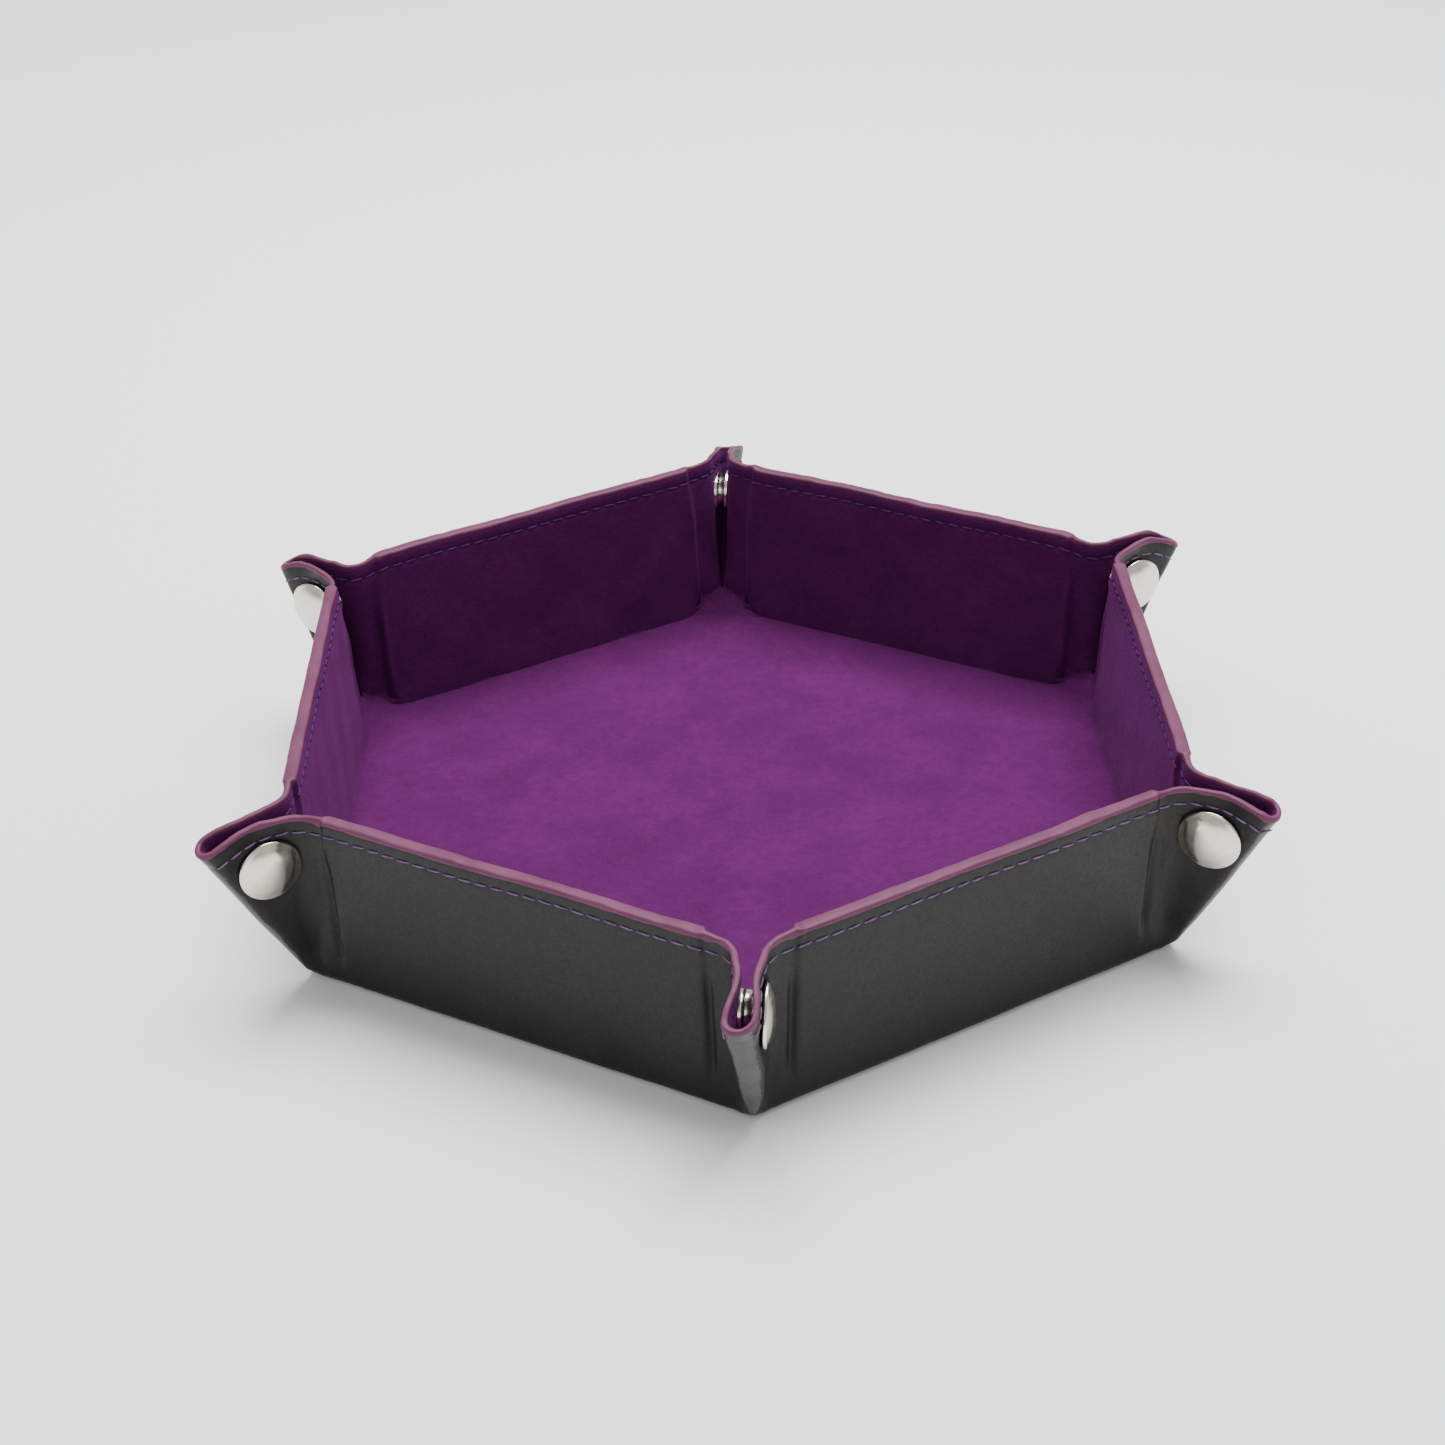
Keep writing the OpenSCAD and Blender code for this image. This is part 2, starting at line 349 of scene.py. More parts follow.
def faces_at(k, side, c, u, leather):
    """The outer and the hidden face of a skin at columns c and heights u."""
    v, w, normal_v, normal_w, half, along = section(c, u)
    spot = place(k, side, v, w, u)
    depth = rim_height(k, side, c) - u
    sign = -1 if leather else 1
    out = half + relief(k, side, c, u, depth, v, along, spot, leather)
    front = place(k, side, v + sign * normal_v * out, w + sign * normal_w * out, u)
    inside = half - SKIN
    back = place(k, side, v + sign * normal_v * inside, w + sign * normal_w * inside, u)
    return front, back


# ---- rows and columns

# A panel's rows run from this height to its rim, closest together near the rim. A wall's
# first rows of leather belong to its fold.
LOW = 1.0
DEPTHS = np.concatenate([np.arange(0, 6, 0.4), np.arange(6, 35.5, 1.23), [36.6, 37.6, 38.6]])
ROWS = (1 - DEPTHS / DEPTHS[-1])[::-1]
FOLD_ROWS = 3
WALL_COLUMNS = np.concatenate([np.arange(0, 38, 1.4), np.arange(38, 44.01, 0.3)]) / CUT
CREASE_COLUMNS = np.concatenate(
    [
        np.linspace(1, BEND_START, 4)[:-1],
        np.linspace(BEND_START, FLAP_START, 10)[:-1],
        FLAP_START + FLAP_CUT * np.array([0, 0.5, 1]),
    ]
)
GUSSET_COLUMNS = np.concatenate(
    [
        np.linspace(FLAP_START + FLAP_CUT, LOOP_START, 24)[:-1],
        np.linspace(LOOP_START, LAST, 13)[:-1],
        [LAST - 0.02, LAST],
    ]
)
CORNER_COLUMNS = np.concatenate([CREASE_COLUMNS, GUSSET_COLUMNS[1:]])


def panel(k, side, columns, leather, rows=ROWS):
    """The two faces of a skin as grids, with rows from the foot to the rim."""
    top = rim_height(k, side, columns)
    u = LOW + (top - LOW)[None, :] * rows[:, None]
    c = np.broadcast_to(columns[None, :], u.shape)
    front, back = faces_at(k, side, c, u, leather)
    if columns[-1] == LAST:
        for face in (front, back):
            onto_corner_plane(face[:, -1], k, side)
    return front, back


def onto_corner_plane(points, k, side):
    """Moves points onto the plane that halves the corner, in place."""
    turn = math.radians(SECTOR * (k - 1) + HALF_SECTOR * side)
    across = np.array([-math.sin(turn), math.cos(turn), 0])
    points -= (points @ across)[:, None] * across


def whole_wall(k, leather, rows=ROWS):
    """Both halves of a wall as one pair of grids, from one cut to the other."""
    left = panel(k, -1, WALL_COLUMNS[::-1], leather, rows)
    right = panel(k, 1, WALL_COLUMNS[1:], leather, rows)
    return tuple(np.concatenate(pair, axis=1) for pair in zip(left, right))


# ---- meshes


def add_object(name, data):
    obj = bpy.data.objects.new(name, data)
    bpy.context.scene.collection.objects.link(obj)
    return obj


def new_object(name, points, faces, materials, kinds=None, angle=48, painted_light=None, soft=True):
    """A mesh object from points in mm, with smooth faces and sharp edges above that angle.
    The optional value for each point is painted light: its material reads it to paint light or shade.
    A soft piece settles."""
    mesh = bpy.data.meshes.new(name)
    points = settled(points) if soft else np.asarray(points)
    mesh.from_pydata((points * MM).tolist(), [], faces)
    if painted_light is not None:
        mesh.attributes.new("painted_light", "FLOAT", "POINT").data.foreach_set("value", np.ravel(painted_light))
    if kinds is not None:
        mesh.polygons.foreach_set("material_index", kinds)
    made = bmesh.new()
    made.from_mesh(mesh)
    bmesh.ops.remove_doubles(made, verts=made.verts, dist=2e-7)
    bmesh.ops.recalc_face_normals(made, faces=made.faces)
    made.to_mesh(mesh)
    made.free()
    mesh.shade_smooth()
    mesh.set_sharp_from_angle(angle=math.radians(angle))
    for material in materials:
        mesh.materials.append(material)
    return add_object(name, mesh)


def grid_faces(rows, columns, first=0):
    return [
        (first + i * columns + j, first + i * columns + j + 1,
         first + (i + 1) * columns + j + 1, first + (i + 1) * columns + j)
        for i in range(rows - 1)
        for j in range(columns - 1)
    ]


def sheet_object(name, front, back, materials, loop=False, painted_light=None):
    """A closed sheet from its two faces. The rim along the last row takes the second
    material and the back takes the third, where there are as many. A loop's last column
    joins its first. The optional value for each column is painted light, which its
    material reads to paint light or shade."""
    rows, columns = front.shape[:2]
    count = rows * columns
    faces = grid_faces(rows, columns) + [f[::-1] for f in grid_faces(rows, columns, count)]
    kinds = [0] * (len(faces) // 2) + [2 * (len(materials) == 3)] * (len(faces) // 2)
    rim = min(1, len(materials) - 1)
    top = (rows - 1) * columns
    for j in range(columns - 1):
        faces.append((j, j + 1, count + j + 1, count + j))
        faces.append((top + j, top + j + 1, count + top + j + 1, count + top + j))
        kinds += [0, rim]
    if not loop:
        for i in range(rows - 1):
            for j in (0, columns - 1):
                a, b = i * columns + j, (i + 1) * columns + j
                faces.append((a, b, count + b, count + a))
                kinds.append(0)
    points = np.concatenate([front.reshape(-1, 3), back.reshape(-1, 3)])
    if painted_light is not None:
        painted_light = np.tile(np.broadcast_to(painted_light, (rows, columns)).ravel(), 2)
    return new_object(name, points, faces, materials, kinds, painted_light=painted_light)


def tube_faces(count, around, first=0):
    """The faces of a tube through rings of points, capped at both ends."""
    faces = [
        (first + i * around + j, first + i * around + (j + 1) % around,
         first + (i + 1) * around + (j + 1) % around, first + (i + 1) * around + j)
        for i in range(count - 1)
        for j in range(around)
    ]
    faces.append(tuple(range(first, first + around)))
    faces.append(tuple(range(first + (count - 1) * around, first + count * around)))
    return faces


def tube_object(name, rings, materials, angle=60, soft=True):
    faces = tube_faces(*rings.shape[:2])
    return new_object(name, rings.reshape(-1, 3), faces, materials, angle=angle, soft=soft)


def circle(count):
    """That many angles, evenly spaced round a circle."""
    return np.linspace(0, 2 * math.pi, count + 1)[:-1]


def thickened(front, thickness, upward):
    """The hidden face of a grid, that far behind it. upward is a direction it faces away from."""
    across = np.gradient(front, axis=1)
    down = np.gradient(front, axis=0)
    normal = np.cross(across, down)
    normal /= np.maximum(np.linalg.norm(normal, axis=-1, keepdims=True), 1e-9)
    if (normal * upward).sum() < 0:
        normal = -normal
    return front + normal * thickness


# ---- materials


class Nodes:
    """A material under construction. Inputs may be numbers, colours or other nodes' outputs."""

    def __init__(self, name):
        self.material = bpy.data.materials.new(name)
        self.material.use_nodes = True
        self.tree = self.material.node_tree
        self.shader = self.tree.nodes["Principled BSDF"]
        self.where = self.tree.nodes.new("ShaderNodeTexCoord").outputs["Object"]

    def put(self, node, socket, value):
        if isinstance(value, bpy.types.NodeSocket):
            self.tree.links.new(value, node.inputs[socket])
        else:
            node.inputs[socket].default_value = value

    def noise(self, scale, detail=3.0, roughness=0.5, distortion=0.0, where=None):
        node = self.tree.nodes.new("ShaderNodeTexNoise")
        self.put(node, "Vector", where or self.where)
        self.put(node, "Scale", scale)
        self.put(node, "Detail", detail)
        self.put(node, "Roughness", roughness)
        self.put(node, "Distortion", distortion)
        return node.outputs["Fac"]

    def cells(self, scale):
        node = self.tree.nodes.new("ShaderNodeTexVoronoi")
        node.feature = "SMOOTH_F1"
        self.put(node, "Vector", self.where)
        self.put(node, "Scale", scale)
        return node.outputs["Distance"]

    # The point attribute that tells a material where to paint light or shade
    def painted_light(self):
        node = self.tree.nodes.new("ShaderNodeAttribute")
        node.attribute_name = "painted_light"
        return node.outputs["Fac"]

    def stretched(self, scale, turn=(0, 0, 0)):
        node = self.tree.nodes.new("ShaderNodeMapping")
        self.put(node, "Vector", self.where)
        self.put(node, "Scale", scale)
        self.put(node, "Rotation", turn)
        return node.outputs["Vector"]

    def span(self, value, low, high, to_low, to_high):
        node = self.tree.nodes.new("ShaderNodeMapRange")
        node.interpolation_type = "SMOOTHSTEP"
        for socket, v in zip(
            ("Value", "From Min", "From Max", "To Min", "To Max"), (value, low, high, to_low, to_high)
        ):
            self.put(node, socket, v)
        return node.outputs["Result"]

    def math(self, operation, a, b=0.0):
        node = self.tree.nodes.new("ShaderNodeMath")
        node.operation = operation
        self.put(node, 0, a)
        self.put(node, 1, b)
        return node.outputs[0]

    def mix(self, share, a, b):
        node = self.tree.nodes.new("ShaderNodeMix")
        node.data_type = "RGBA"
        self.put(node, 0, share)
        for socket, value in ((6, a), (7, b)):
            self.put(node, socket, value if isinstance(value, bpy.types.NodeSocket) else (*value, 1))
        return node.outputs[2]

    def bump(self, height, distance, strength=1.0, over=None):
        node = self.tree.nodes.new("ShaderNodeBump")
        self.put(node, "Height", height)
        self.put(node, "Distance", distance)
        self.put(node, "Strength", strength)
        if over is not None:
            self.put(node, "Normal", over)
        return node.outputs["Normal"]

    def finish(self, **sockets):
        for name, value in sockets.items():
            if isinstance(value, tuple):
                value = (*value, 1)
            self.put(self.shader, name.replace("_", " "), value)
        return self.material


def leather_material():
    n = Nodes("black_leather")
    mottle = n.noise(90, 4, 0.6)
    pores = n.cells(1500)
    grain = n.noise(1300, 3, 0.6)
    # The loop's outer fold is painted lighter and greyer with ragged edges, and made a little
    # glossier: a painted reflection of the pale floor.
    ragged_reflection = n.math("ADD", n.painted_light(), n.span(n.noise(330, 3, 0.6), 0.3, 0.7, -0.09, 0.09))
    painted_reflection = n.span(ragged_reflection, 1.36, 1.52, 0, 1)
    colour = n.mix(n.span(mottle, 0.3, 0.7, 0, 1), (0.0105, 0.0102, 0.0100), (0.0150, 0.0145, 0.0142))
    colour = n.mix(n.span(grain, 0.35, 0.75, 0, 0.4), colour, (0.006, 0.006, 0.006))
    reflection_colour = n.mix(n.span(mottle, 0.3, 0.7, 0, 1), (0.035, 0.036, 0.035), (0.075, 0.076, 0.073))
    colour = n.mix(painted_reflection, colour, reflection_colour)
    rough = n.math("ADD", n.span(mottle, 0.3, 0.7, 0.40, 0.47), n.span(grain, 0.3, 0.7, -0.04, 0.06))
    rough = n.math("SUBTRACT", rough, n.span(painted_reflection, 0, 1, 0, 0.08))
    normal = n.bump(n.math("ADD", pores, grain), 0.00006, 0.4)
    normal = n.bump(n.noise(140, 3, 0.5), 0.0004, 0.2, normal)
    return n.finish(Base_Color=colour, Roughness=rough, Normal=normal, Specular_IOR_Level=0.22)


def velvet_material():
    n = Nodes("purple_velvet")
    cloud = n.noise(55, 4, 0.55, 0.6)
    nap = n.noise(420, 4, 0.65)
    pile = n.noise(2600, 2, 0.5)
    streaks = n.noise(120, 3, 0.6, 0.4)
    deep, bright = (0.064, 0.0060, 0.064), (0.088, 0.0095, 0.086)
    colour = n.mix(n.span(cloud, 0.25, 0.75, 0.0, 1.0), deep, bright)
    colour = n.mix(n.span(streaks, 0.45, 0.75, 0, 0.2), colour, (0.100, 0.013, 0.103))
    colour = n.mix(n.span(nap, 0.3, 0.75, 0, 0.35), colour, (0.040, 0.003, 0.044))
    colour = n.mix(n.span(pile, 0.3, 0.8, 0, 0.25), colour, (0.12, 0.02, 0.12))
    normal = n.bump(n.math("ADD", nap, pile), 0.00025, 0.7)
    return n.finish(
        Base_Color=colour, Roughness=0.95, Normal=normal, Specular_IOR_Level=0.08,
        Sheen_Weight=0.16, Sheen_Roughness=0.4, Sheen_Tint=(0.60, 0.14, 0.62),
    )


def edge_material():
    n = Nodes("edge_paint")
    tone = n.noise(110, 3, 0.5)
    colour = n.mix(n.span(tone, 0.3, 0.7, 0, 1), (0.108, 0.027, 0.067), (0.134, 0.037, 0.084))
    colour = n.mix(n.span(n.noise(900, 2, 0.6), 0.6, 0.85, 0, 0.3), colour, (0.08, 0.03, 0.06))
    normal = n.bump(n.noise(300, 2, 0.5), 0.0003, 0.35)
    rough = n.span(tone, 0.3, 0.75, 0.42, 0.54)
    return n.finish(Base_Color=colour, Roughness=rough, Normal=normal, Specular_IOR_Level=0.18)


def thread_material(name, dull, bright, painted_hole_shade):
    """Thread whose ends are painted darker: painted shade where it goes into its holes."""
    n = Nodes(name)
    colour = n.mix(n.span(n.noise(700, 3, 0.6), 0.3, 0.7, 0, 1), dull, bright)
    colour = n.mix(n.span(n.painted_light(), 0.72, 0.95, 0, 1), colour, painted_hole_shade)
    fibres = n.noise(2200, 2, 0.6, 0.0, n.stretched((1, 1, 0.35), (0.5, 0.3, 0.4)))
    normal = n.bump(fibres, 0.0002, 0.8)
    return n.finish(Base_Color=colour, Roughness=0.62, Normal=normal, Specular_IOR_Level=0.15)


def nickel_material():
    n = Nodes("polished_nickel")
    haze = n.noise(500, 4, 0.6)
    scratches = n.noise(700, 3, 0.7, 0.0, n.stretched((1, 8, 1), (0.3, 0.5, 0.9)))
    colour = n.mix(n.span(haze, 0.3, 0.7, 0, 1), (0.66, 0.62, 0.54), (0.74, 0.70, 0.62))
    rough = n.math("ADD", n.span(haze, 0.3, 0.7, 0.12, 0.22), n.span(scratches, 0.55, 0.8, 0, 0.1))
    normal = n.bump(n.noise(300, 2, 0.5), 0.0001, 0.3)
    return n.finish(Base_Color=colour, Metallic=1.0, Roughness=rough, Normal=normal)


def board_material():
    n = Nodes("grey_board")
    fibre = n.noise(900, 4, 0.7, 0.0, n.stretched((1, 3, 1)))
    colour = n.mix(n.span(fibre, 0.3, 0.7, 0, 1), (0.22, 0.19, 0.14), (0.34, 0.30, 0.23))
    colour = n.mix(n.span(n.noise(200, 3), 0.5, 0.8, 0, 0.5), colour, (0.16, 0.14, 0.11))
    return n.finish(Base_Color=colour, Roughness=0.9, Normal=n.bump(fibre, 0.0001, 0.6))


def floor_material():
    n = Nodes("studio_floor")
    colour = n.mix(n.noise(6, 2), (0.93, 0.93, 0.93), (0.95, 0.95, 0.95))
    return n.finish(Base_Color=colour, Roughness=0.9, Specular_IOR_Level=0.1)


LEATHER = leather_material()
VELVET = velvet_material()
EDGE = edge_material()
# Both threads get painted shade at each stitch's ends, in their hole colours
THREAD = thread_material(
    "mauve_thread", dull=(0.13, 0.07, 0.17), bright=(0.22, 0.13, 0.26), painted_hole_shade=(0.020, 0.011, 0.045)
)
BOBBIN = thread_material(
    "violet_thread", dull=(0.050, 0.013, 0.088), bright=(0.090, 0.025, 0.150),
    painted_hole_shade=(0.014, 0.004, 0.022),
)
NICKEL = nickel_material()
BOARD = board_material()

for name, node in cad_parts.items():
    look = BOARD if "board" in name else NICKEL
    if not any(word in name for word in ("cover", "lining", "flap")):
        for slot in node.material_slots:
            slot.material = look


# ---- how pieces move


def metres(point):
    return tuple(float(x) * MM for x in point)


def rides(piece, body):
    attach(piece, body)


def bends_at_foot(piece, k, middle):
    """Bakes the piece's transform into its mesh. Points on the diagonal of the fold between the base
    and wall k are worked out, but not used.
    """
    for sign in (-1, 1):
        away = sign * 1.5 * math.sqrt(0.5)
        metres(turned(middle + away, 0.0, HALF_PANEL + away, wall_turn(k)))
    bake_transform(piece)


def bends_at_crease(piece, k, side):
    """Bakes the piece's transform into its mesh. Points across the bisector of the fold between wall k
    and its flap are worked out, but not used.
    """
    apex = ORIGIN_SHIFT / FLAP_NORMAL[0]
    v = FLAP_ORIGIN[0] + FLAP_WAY[0] * apex
    for sign in (-1, 1):
        away = sign * 2.4
        metres(place(
            k, side, v + away * FLAP_NORMAL[0], STEP_SHIFT - away * FLAP_NORMAL[1], 20.0))
    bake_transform(piece)


def snap_centre(k, side):
    """Where the snap's axis crosses the middle of the flap."""
    v = FLAP_ORIGIN[0] + FLAP_WAY[0] * SNAP_OUT
    w = FLAP_ORIGIN[1] + FLAP_WAY[1] * SNAP_OUT
    return place(k, side, v, w, SNAP_UP)


def flattens(piece, k, side, offset):
    """The piece rides on the flap and gets a mesh of its own."""
    rides(piece, flap_body(k, side))
    axis = aim(k, side, FLAP_NORMAL[0], FLAP_NORMAL[1], 0.0)
    snap = snap_centre(k, side)
    # How far the snap has settled along the flap's normal is added to the offset.
    offset += 0.6 * float((settled(snap) - snap) @ axis)
    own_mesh(piece)


# ---- underside and floor


def ring_point(k, side, c):
    """The line on the underside where the base's leather meets the strips that turn up."""
    share = np.clip(c - 1, 0, 4) / 4
    corner = RING * math.tan(math.radians(HALF_SECTOR))
    v = np.where(c <= 1, CUT * np.clip(c, 0, 1), CUT + (corner - CUT) * share)
    pull = 1 - 0.010 * share**2
    return turned(RING * pull, side * v * pull, 0.0, wall_turn(k))


def ring_along(k, columns):
    """That line all along wall k, from one end to the other."""
    return np.concatenate([ring_point(k, -1, columns[::-1]), ring_point(k, 1, columns[1:])])


def turn_up(inner, outer, rounding=FOOT_ROUNDING, straight=0.0):
    """Rows of leather that run outwards along the underside and turn up to meet a panel, in
    a round bend or in a straight slope."""
    plan = outer - inner
    plan[:, 2] = 0
    length = np.linalg.norm(plan, axis=1, keepdims=True)
    way = plan / length
    rows = []
    for share in np.linspace(0, 1, 4)[:-1]:
        rows.append(inner + way * (length - rounding) * share)
    for angle in np.radians(np.linspace(0, 90, 9)):
        share = (1 - straight) * math.sin(angle) + straight * (1 - math.cos(angle))
        row = inner + way * (length - rounding * (1 - share))
        row[:, 2] = outer[:, 2] * (1 - math.cos(angle))
        rows.append(row)
    return np.stack(rows)


def leather_base():
    columns = np.concatenate([WALL_COLUMNS, CORNER_COLUMNS[1:]])
    ring = np.concatenate([ring_along(k, columns) for k in range(1, SIDES + 1)])
    ring = np.concatenate([ring, ring[:1]])
    shares = np.linspace(0, 1, 16)
    front = ring[None] * shares[:, None, None]
    back = front + np.array([0, 0, SKIN])
    piece = sheet_object("leather_base", front, back, [LEATHER], loop=True)
    rides(piece, "base")
    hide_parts("base_cover")


def declare_flap(face):
    """Works out how long and how wide a flap's skin would be cut, as long and as wide as its face is
    along the surface; nothing is done with the sizes.
    """
    along = np.linalg.norm(np.diff(face, axis=1), axis=2).sum(axis=1)
    up = np.linalg.norm(np.diff(face, axis=0), axis=2).sum(axis=0)
    one, two = face[1:, 1:] - face[:-1, :-1], face[1:, :-1] - face[:-1, 1:]
    area = np.linalg.norm(np.cross(one, two), axis=2).sum() / 2
    width, length = float(along.max()), float(up.max())
    width = max(width, float(area) / length)


def leather_fold(k):
    inner = ring_along(k, WALL_COLUMNS)
    rising, _ = whole_wall(k, True, ROWS[: FOLD_ROWS + 1])
    front = np.concatenate([turn_up(inner, rising[0]), rising[1:]])
    away = place(k, 1, 0.0, 0.0, 0.0) / APOTHEM
    back = thickened(front, SKIN, (-away[0], -away[1], 1))
    piece = sheet_object(f"leather_fold_{k}", front, back, [LEATHER])
    bends_at_foot(piece, k, APOTHEM + 0.5)


def leather_corner(k):
    """The leather under corner k, from the base's leather up to the gusset's foot."""
    following = k % SIDES + 1
    inner, outer = [], []
    for wall, side in ((k, 1), (following, -1)):
        near = ring_point(wall, side, CORNER_COLUMNS)
        foot = panel(wall, side, CORNER_COLUMNS, True, ROWS[:1])[0][0]
        inner.append(near if side > 0 else near[::-1][1:])
        outer.append(foot if side > 0 else foot[::-1][1:])
    inner, outer = np.concatenate(inner), np.concatenate(outer)
    middle = 1 - smooth(abs(np.linspace(-1, 1, len(inner))[:, None]))
    front = turn_up(inner, outer, FOOT_ROUNDING + 1.2 * middle, 0.6 * middle)
    turn = corner_turn(k)
    back = thickened(front, SKIN * 0.6, (-math.cos(turn), -math.sin(turn), 1))
    piece = sheet_object(f"leather_corner_{k}", front, back, [LEATHER, LEATHER, VELVET])
    rides(piece, "base")
    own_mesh(piece)


def velvet_base():
    spread = np.concatenate([np.arange(0, 44, 2.2), np.arange(44, 49.2, 0.4), [49.55]])
    ring, edge = [], []
    for k in range(1, SIDES + 1):
        for side, along in ((-1, spread[::-1]), (1, spread[1:])):
            out = VELVET_RING + 1.0 * smooth((along - BOARD_END) / STEP_LENGTH)
            along = np.minimum(along, out * math.tan(math.radians(HALF_SECTOR)))
            ring.append(turned(out, side * along, 0.0, wall_turn(k)))
            edge.append(out)
    ring = np.concatenate([*ring, ring[0][:1]])
    edge = np.concatenate([*edge, edge[0][:1]])
    shares = np.concatenate([np.linspace(0, 0.94, 34)[:-1], np.linspace(0.94, 1, 14)])
    front = ring[None] * shares[:, None, None]
    angle = np.arctan2(front[..., 1], front[..., 0])
    from_corner = np.mod(angle, math.radians(SECTOR)) - math.radians(HALF_SECTOR)
    radial = np.hypot(front[..., 0], front[..., 1]) * np.cos(from_corner)
    level = FLOOR_TOP + 0.07 * waves(front, 22, 21) + 0.04 * waves(front, 7, 22)
    level -= 0.35 * smooth((edge[None] * shares[:, None] - 83.7) / 1.2)
    level -= 1.2 * smooth((radial - 94.7) / 2.5)
    front[..., 2] = level
    back = front - np.array([0, 0, SKIN])
    piece = sheet_object("velvet_base", front, back, [VELVET], loop=True)
    rides(piece, "base")
    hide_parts("base_lining")


def corner_patch(name, k, radial, across, level, unevenness, seed, thickness):
    """A patch of velvet in corner k, from ways out, ways across and heights."""
    front = turned(radial, across, level, corner_turn(k))
    front[..., 2] += unevenness * waves(front, 4, seed + k)
    back = thickened(front, thickness, (0, 0, -1))
    piece = sheet_object(f"{name}_{k}", front, back, [VELVET])
    rides(piece, "base")
    return piece


def velvet_corner(k):
    """The lining's small web in corner k, which slopes up from the floor into the gusset."""
    radial = np.linspace(92.6, 99.3, 20)[:, None]
    share = np.linspace(-1, 1, 31)[None, :]
    face = 85.6
    across = share * (2 * face - math.sqrt(3) * radial + 0.8).clip(0.4)
    climb = np.clip((radial - 93.4) / 5.6, 0, 1)
    level = FLOOR_TOP - 0.25 + 4.9 * climb**1.25 + 0.8 * share**2 * climb
    level = level + 0.16 * np.sin(1.9 * radial + 2.2 * share + k) * smooth(climb * 3)
    piece = corner_patch("velvet_corner", k, radial, across, level,
                         unevenness=0.12, seed=50, thickness=0.4)
    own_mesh(piece)


def velvet_under(k):
    """The lining under the web, which shows in the corner once the walls are folded down."""
    radial = np.linspace(88.0, 103.0, 22)[:, None]
    share = np.linspace(-1, 1, 13)[None, :]
    face = 86.6
    across = share * (2 * face - math.sqrt(3) * radial).clip(0.6, 9.0)
    level = 1.75 + 0.3 * smooth((radial - 94) / 5) + 4.2 * smooth((radial - 98.5) / 5.5)
    piece = corner_patch("velvet_under", k, radial, across, level,
                         unevenness=0.06, seed=70, thickness=0.3)
    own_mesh(piece)


def velvet_fold(k):
    """The lining in the fold between the floor and wall k. The crease hides most of it until
    the wall folds down."""
    profile = [(83.4, 2.3), (83.9, 2.28), (84.4, 2.25)]
    for angle in np.radians(np.linspace(0, 90, 7)[1:]):
        profile.append((84.4 + 0.8 * math.sin(angle), 2.25 + 0.8 * (1 - math.cos(angle))))
    profile += [(85.22, 3.5), (85.24, 4.0), (85.26, 4.5)]
    last_out, last_up = profile[-1]
    turn = wall_turn(k)
    along = np.linspace(-FOLD_END, FOLD_END, 68)
    # Past the board's end the strip runs on between the skins, where the crease pulls away
    # from the floor as the wall folds down.
    tucked = smooth((abs(along) - 42.5) / 1.5)
    for share in (0.12, 0.3, 0.6, 1.0):
        out = last_out + 1.75 * share**0.5 * tucked
        profile.append((out, last_up + (0.1 + 5.4 * tucked) * share))
    front = np.stack([turned(out, along, up, turn) for out, up in profile])
    front[..., 2] += 0.05 * waves(front, 9, 30 + k)
    back = thickened(front, 0.3, (math.cos(turn), math.sin(turn), -1))
    piece = sheet_object(f"velvet_fold_{k}", front, back, [VELVET])
    bends_at_foot(piece, k, APOTHEM + 0.1)


# ---- walls and gussets


def skins(k, leather):
    """The wall's skin, the creases at its ends and the two flaps."""
    word, look = ("leather", LEATHER) if leather else ("velvet", VELVET)
    first = FOLD_ROWS if leather else 0
    front, back = whole_wall(k, leather, ROWS)
    wall = sheet_object(f"{word}_wall_{k}", front[first:], back[first:], [look, EDGE])
    rides(wall, f"wall_{k}")
    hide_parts(f"wall_cover_{k}" if leather else f"wall_lining_{k}")
    for side in (-1, 1):
        faces = panel(k, side, CREASE_COLUMNS, leather)
        name = flap_piece(f"{word}_crease", k, side)
        crease = sheet_object(name, *faces, [look, EDGE, VELVET])
        bends_at_crease(crease, k, side)
        faces = panel(k, side, GUSSET_COLUMNS, leather)
        name = flap_piece(f"{word}_gusset", k, side)
        # Each column's way past the flap's start, which the leather reads to paint a reflection on the
        # loop's outer fold
        painted_light = GUSSET_COLUMNS - FLAP_START
        gusset = sheet_object(name, *faces, [look, EDGE, VELVET], painted_light=painted_light)
        flattens(gusset, k, side, -HALF_FLAP if leather else HALF_FLAP)
        declare_flap(faces[0])
        if leather:
            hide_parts(f"{kind_of(k, side)}_flap_{corner_of(k, side)}")


